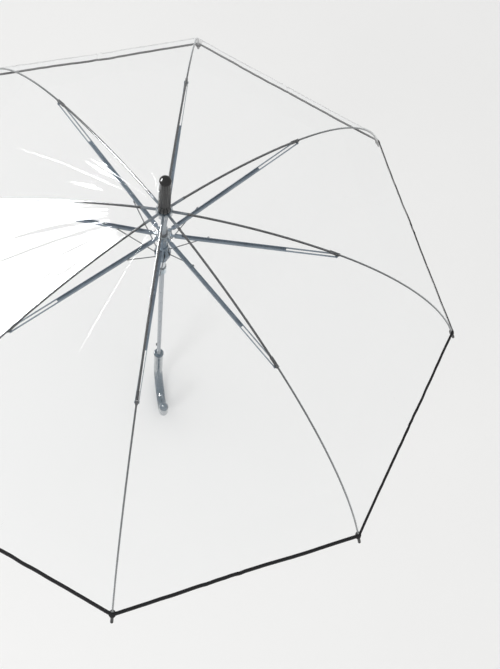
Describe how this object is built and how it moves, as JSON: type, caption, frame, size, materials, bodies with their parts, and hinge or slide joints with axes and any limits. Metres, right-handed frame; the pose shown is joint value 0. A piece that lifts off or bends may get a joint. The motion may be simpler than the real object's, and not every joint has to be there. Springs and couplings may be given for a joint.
{
  "type": "stick umbrella",
  "caption": "Clear-film stick umbrella, open: ribs, forked stretchers and jump wires on a sprung runner, straight shaft, fluted ferrule and hooked handle.",
  "frame": {"origin": "on the shaft's axis, level with the lowest point of the hooked handle", "axes": "+Z along the shaft towards the ferrule; +X towards rib 1 of the canopy"},
  "size_m": [1.0264, 1.0264, 0.91],
  "materials": {
    "rib_steel": "black enamel, satin",
    "tail_steel": "dark grey, satin",
    "black_plastic": "moulded, gloss",
    "stretcher_steel": "blue-grey enamel, satin",
    "wire_steel": "bright drawn wire",
    "shaft_steel": "pale grey enamel, gloss",
    "ferrule_plastic": "moulded, high gloss",
    "clear_plastic": "clear, gloss",
    "blue_plastic": "smoky blue, slightly translucent",
    "pale_plastic": "milky",
    "dark_plastic": "dark smoke",
    "handle_plastic": "smoky blue-grey, translucent",
    "clear_film": "clear vinyl film, gloss"
  },
  "bodies": {
    "shaft": {"shaft_tube": "shaft_steel", "ferrule": "ferrule_plastic", "canopy_washer": "clear_plastic", "top_notch": "blue_plastic", "notch_wire": "wire_steel", "upper_stop": "wire_steel", "opening_spring": "wire_steel", "spring_plug": "wire_steel", "handle": "handle_plastic", "handle_collar": "handle_plastic", "canopy": "clear_film"},
    "runner_body": {"runner": "blue_plastic", "runner_pins": "wire_steel", "runner_bush": "pale_plastic", "runner_ring": "dark_plastic", "runner_cap": "clear_plastic", "spring_seat": "wire_steel"},
    "jump_ring_body": {"jump_ring": "blue_plastic", "jump_pins": "wire_steel"},
    "catch_body": {"release_catch": "dark_plastic"},
    "rib_1_body": {"rib_1": "rib_steel"},
    "tail_1_body": {"tail_1": "tail_steel", "tip_1": "black_plastic"},
    "stretcher_1_body": {"stretcher_1": "stretcher_steel"},
    "jump_wire_1_body": {"jump_wire_1": "wire_steel"},
    "rib_2_body": {"rib_2": "rib_steel"},
    "tail_2_body": {"tail_2": "tail_steel", "tip_2": "black_plastic"},
    "stretcher_2_body": {"stretcher_2": "stretcher_steel"},
    "jump_wire_2_body": {"jump_wire_2": "wire_steel"},
    "rib_3_body": {"rib_3": "rib_steel"},
    "tail_3_body": {"tail_3": "tail_steel", "tip_3": "black_plastic"},
    "stretcher_3_body": {"stretcher_3": "stretcher_steel"},
    "jump_wire_3_body": {"jump_wire_3": "wire_steel"},
    "rib_4_body": {"rib_4": "rib_steel"},
    "tail_4_body": {"tail_4": "tail_steel", "tip_4": "black_plastic"},
    "stretcher_4_body": {"stretcher_4": "stretcher_steel"},
    "jump_wire_4_body": {"jump_wire_4": "wire_steel"},
    "rib_5_body": {"rib_5": "rib_steel"},
    "tail_5_body": {"tail_5": "tail_steel", "tip_5": "black_plastic"},
    "stretcher_5_body": {"stretcher_5": "stretcher_steel"},
    "jump_wire_5_body": {"jump_wire_5": "wire_steel"},
    "rib_6_body": {"rib_6": "rib_steel"},
    "tail_6_body": {"tail_6": "tail_steel", "tip_6": "black_plastic"},
    "stretcher_6_body": {"stretcher_6": "stretcher_steel"},
    "jump_wire_6_body": {"jump_wire_6": "wire_steel"},
    "rib_7_body": {"rib_7": "rib_steel"},
    "tail_7_body": {"tail_7": "tail_steel", "tip_7": "black_plastic"},
    "stretcher_7_body": {"stretcher_7": "stretcher_steel"},
    "jump_wire_7_body": {"jump_wire_7": "wire_steel"},
    "rib_8_body": {"rib_8": "rib_steel"},
    "tail_8_body": {"tail_8": "tail_steel", "tip_8": "black_plastic"},
    "stretcher_8_body": {"stretcher_8": "stretcher_steel"},
    "jump_wire_8_body": {"jump_wire_8": "wire_steel"}
  },
  "joints": [
    {"name": "runner_slide", "type": "slide", "parent": "shaft", "child": "runner_body", "axis": [0, 0, -1], "range_m": [0, 0.39591], "stiffness_N_per_m": 50, "springref_m": -0.15, "deforming": ["opening_spring", "canopy"]},
    {"name": "jump_ring_slide", "type": "slide", "parent": "runner_body", "child": "jump_ring_body", "axis": [0, 0, 1], "range_m": [0, 0.02705]},
    {"name": "catch_press", "type": "slide", "parent": "shaft", "child": "catch_body", "axis": [-0.6293, -0.7771, 0], "range_m": [0, 0.0021], "stiffness_N_per_m": 600, "springref_m": -0.001},
    {"name": "rib_1_hinge", "type": "hinge", "parent": "shaft", "child": "rib_1_body", "pos_m": [0.009, 0, 0.832], "axis": [0, 1, 0], "range_deg": [0, 75.29]},
    {"name": "tail_1_flex", "type": "hinge", "parent": "rib_1_body", "child": "tail_1_body", "pos_m": [0.23929, 0, 0.78116], "axis": [0, 1, 0], "range_deg": [-27.52, 0]},
    {"name": "stretcher_1_hinge", "type": "hinge", "parent": "runner_body", "child": "stretcher_1_body", "pos_m": [0.0105, 0, 0.762], "axis": [0, 1, 0], "range_deg": [-85.23, 0]},
    {"name": "jump_wire_1_hinge", "type": "hinge", "parent": "jump_ring_body", "child": "jump_wire_1_body", "pos_m": [0.0084, 0.0039, 0.708], "axis": [0, 1, 0], "range_deg": [-40.56, 0]},
    {"name": "rib_2_hinge", "type": "hinge", "parent": "shaft", "child": "rib_2_body", "pos_m": [0.00636, -0.00636, 0.832], "axis": [0.7071, 0.7071, 0], "range_deg": [0, 75.29]},
    {"name": "tail_2_flex", "type": "hinge", "parent": "rib_2_body", "child": "tail_2_body", "pos_m": [0.1692, -0.1692, 0.78116], "axis": [0.7071, 0.7071, 0], "range_deg": [-27.52, 0]},
    {"name": "stretcher_2_hinge", "type": "hinge", "parent": "runner_body", "child": "stretcher_2_body", "pos_m": [0.00742, -0.00742, 0.762], "axis": [0.7071, 0.7071, 0], "range_deg": [-85.23, 0]},
    {"name": "jump_wire_2_hinge", "type": "hinge", "parent": "jump_ring_body", "child": "jump_wire_2_body", "pos_m": [0.0087, -0.00318, 0.708], "axis": [0.7071, 0.7071, 0], "range_deg": [-40.56, 0]},
    {"name": "rib_3_hinge", "type": "hinge", "parent": "shaft", "child": "rib_3_body", "pos_m": [0, -0.009, 0.832], "axis": [1, 0, 0], "range_deg": [0, 75.29]},
    {"name": "tail_3_flex", "type": "hinge", "parent": "rib_3_body", "child": "tail_3_body", "pos_m": [0, -0.23929, 0.78116], "axis": [1, 0, 0], "range_deg": [-27.52, 0]},
    {"name": "stretcher_3_hinge", "type": "hinge", "parent": "runner_body", "child": "stretcher_3_body", "pos_m": [0, -0.0105, 0.762], "axis": [1, 0, 0], "range_deg": [-85.23, 0]},
    {"name": "jump_wire_3_hinge", "type": "hinge", "parent": "jump_ring_body", "child": "jump_wire_3_body", "pos_m": [0.0039, -0.0084, 0.708], "axis": [1, 0, 0], "range_deg": [-40.56, 0]},
    {"name": "rib_4_hinge", "type": "hinge", "parent": "shaft", "child": "rib_4_body", "pos_m": [-0.00636, -0.00636, 0.832], "axis": [0.7071, -0.7071, 0], "range_deg": [0, 75.29]},
    {"name": "tail_4_flex", "type": "hinge", "parent": "rib_4_body", "child": "tail_4_body", "pos_m": [-0.1692, -0.1692, 0.78116], "axis": [0.7071, -0.7071, 0], "range_deg": [-27.52, 0]},
    {"name": "stretcher_4_hinge", "type": "hinge", "parent": "runner_body", "child": "stretcher_4_body", "pos_m": [-0.00742, -0.00742, 0.762], "axis": [0.7071, -0.7071, 0], "range_deg": [-85.23, 0]},
    {"name": "jump_wire_4_hinge", "type": "hinge", "parent": "jump_ring_body", "child": "jump_wire_4_body", "pos_m": [-0.00318, -0.0087, 0.708], "axis": [0.7071, -0.7071, 0], "range_deg": [-40.56, 0]},
    {"name": "rib_5_hinge", "type": "hinge", "parent": "shaft", "child": "rib_5_body", "pos_m": [-0.009, 0, 0.832], "axis": [0, -1, 0], "range_deg": [0, 75.29]},
    {"name": "tail_5_flex", "type": "hinge", "parent": "rib_5_body", "child": "tail_5_body", "pos_m": [-0.23929, 0, 0.78116], "axis": [0, -1, 0], "range_deg": [-27.52, 0]},
    {"name": "stretcher_5_hinge", "type": "hinge", "parent": "runner_body", "child": "stretcher_5_body", "pos_m": [-0.0105, 0, 0.762], "axis": [0, -1, 0], "range_deg": [-85.23, 0]},
    {"name": "jump_wire_5_hinge", "type": "hinge", "parent": "jump_ring_body", "child": "jump_wire_5_body", "pos_m": [-0.0084, -0.0039, 0.708], "axis": [0, -1, 0], "range_deg": [-40.56, 0]},
    {"name": "rib_6_hinge", "type": "hinge", "parent": "shaft", "child": "rib_6_body", "pos_m": [-0.00636, 0.00636, 0.832], "axis": [-0.7071, -0.7071, 0], "range_deg": [0, 75.29]},
    {"name": "tail_6_flex", "type": "hinge", "parent": "rib_6_body", "child": "tail_6_body", "pos_m": [-0.1692, 0.1692, 0.78116], "axis": [-0.7071, -0.7071, 0], "range_deg": [-27.52, 0]},
    {"name": "stretcher_6_hinge", "type": "hinge", "parent": "runner_body", "child": "stretcher_6_body", "pos_m": [-0.00742, 0.00742, 0.762], "axis": [-0.7071, -0.7071, 0], "range_deg": [-85.23, 0]},
    {"name": "jump_wire_6_hinge", "type": "hinge", "parent": "jump_ring_body", "child": "jump_wire_6_body", "pos_m": [-0.0087, 0.00318, 0.708], "axis": [-0.7071, -0.7071, 0], "range_deg": [-40.56, 0]},
    {"name": "rib_7_hinge", "type": "hinge", "parent": "shaft", "child": "rib_7_body", "pos_m": [0, 0.009, 0.832], "axis": [-1, 0, 0], "range_deg": [0, 75.29]},
    {"name": "tail_7_flex", "type": "hinge", "parent": "rib_7_body", "child": "tail_7_body", "pos_m": [0, 0.23929, 0.78116], "axis": [-1, 0, 0], "range_deg": [-27.52, 0]},
    {"name": "stretcher_7_hinge", "type": "hinge", "parent": "runner_body", "child": "stretcher_7_body", "pos_m": [0, 0.0105, 0.762], "axis": [-1, 0, 0], "range_deg": [-85.23, 0]},
    {"name": "jump_wire_7_hinge", "type": "hinge", "parent": "jump_ring_body", "child": "jump_wire_7_body", "pos_m": [-0.0039, 0.0084, 0.708], "axis": [-1, 0, 0], "range_deg": [-40.56, 0]},
    {"name": "rib_8_hinge", "type": "hinge", "parent": "shaft", "child": "rib_8_body", "pos_m": [0.00636, 0.00636, 0.832], "axis": [-0.7071, 0.7071, 0], "range_deg": [0, 75.29]},
    {"name": "tail_8_flex", "type": "hinge", "parent": "rib_8_body", "child": "tail_8_body", "pos_m": [0.1692, 0.1692, 0.78116], "axis": [-0.7071, 0.7071, 0], "range_deg": [-27.52, 0]},
    {"name": "stretcher_8_hinge", "type": "hinge", "parent": "runner_body", "child": "stretcher_8_body", "pos_m": [0.00742, 0.00742, 0.762], "axis": [-0.7071, 0.7071, 0], "range_deg": [-85.23, 0]},
    {"name": "jump_wire_8_hinge", "type": "hinge", "parent": "jump_ring_body", "child": "jump_wire_8_body", "pos_m": [0.00318, 0.0087, 0.708], "axis": [-0.7071, 0.7071, 0], "range_deg": [-40.56, 0]}
  ],
  "couplings": [
    {"joint": "jump_ring_slide", "follows": "runner_slide", "ratio": 0.068076},
    {"joint": "rib_1_hinge", "follows": "runner_slide", "rad_per_m": 3.3169},
    {"joint": "tail_1_flex", "follows": "runner_slide", "rad_per_m": -1.2111},
    {"joint": "stretcher_1_hinge", "follows": "runner_slide", "rad_per_m": -3.7549},
    {"joint": "jump_wire_1_hinge", "follows": "runner_slide", "rad_per_m": -1.7858},
    {"joint": "rib_2_hinge", "follows": "runner_slide", "rad_per_m": 3.3169},
    {"joint": "tail_2_flex", "follows": "runner_slide", "rad_per_m": -1.2111},
    {"joint": "stretcher_2_hinge", "follows": "runner_slide", "rad_per_m": -3.7549},
    {"joint": "jump_wire_2_hinge", "follows": "runner_slide", "rad_per_m": -1.7858},
    {"joint": "rib_3_hinge", "follows": "runner_slide", "rad_per_m": 3.3169},
    {"joint": "tail_3_flex", "follows": "runner_slide", "rad_per_m": -1.2111},
    {"joint": "stretcher_3_hinge", "follows": "runner_slide", "rad_per_m": -3.7549},
    {"joint": "jump_wire_3_hinge", "follows": "runner_slide", "rad_per_m": -1.7858},
    {"joint": "rib_4_hinge", "follows": "runner_slide", "rad_per_m": 3.3169},
    {"joint": "tail_4_flex", "follows": "runner_slide", "rad_per_m": -1.2111},
    {"joint": "stretcher_4_hinge", "follows": "runner_slide", "rad_per_m": -3.7549},
    {"joint": "jump_wire_4_hinge", "follows": "runner_slide", "rad_per_m": -1.7858},
    {"joint": "rib_5_hinge", "follows": "runner_slide", "rad_per_m": 3.3169},
    {"joint": "tail_5_flex", "follows": "runner_slide", "rad_per_m": -1.2111},
    {"joint": "stretcher_5_hinge", "follows": "runner_slide", "rad_per_m": -3.7549},
    {"joint": "jump_wire_5_hinge", "follows": "runner_slide", "rad_per_m": -1.7858},
    {"joint": "rib_6_hinge", "follows": "runner_slide", "rad_per_m": 3.3169},
    {"joint": "tail_6_flex", "follows": "runner_slide", "rad_per_m": -1.2111},
    {"joint": "stretcher_6_hinge", "follows": "runner_slide", "rad_per_m": -3.7549},
    {"joint": "jump_wire_6_hinge", "follows": "runner_slide", "rad_per_m": -1.7858},
    {"joint": "rib_7_hinge", "follows": "runner_slide", "rad_per_m": 3.3169},
    {"joint": "tail_7_flex", "follows": "runner_slide", "rad_per_m": -1.2111},
    {"joint": "stretcher_7_hinge", "follows": "runner_slide", "rad_per_m": -3.7549},
    {"joint": "jump_wire_7_hinge", "follows": "runner_slide", "rad_per_m": -1.7858},
    {"joint": "rib_8_hinge", "follows": "runner_slide", "rad_per_m": 3.3169},
    {"joint": "tail_8_flex", "follows": "runner_slide", "rad_per_m": -1.2111},
    {"joint": "stretcher_8_hinge", "follows": "runner_slide", "rad_per_m": -3.7549},
    {"joint": "jump_wire_8_hinge", "follows": "runner_slide", "rad_per_m": -1.7858}
  ]
}
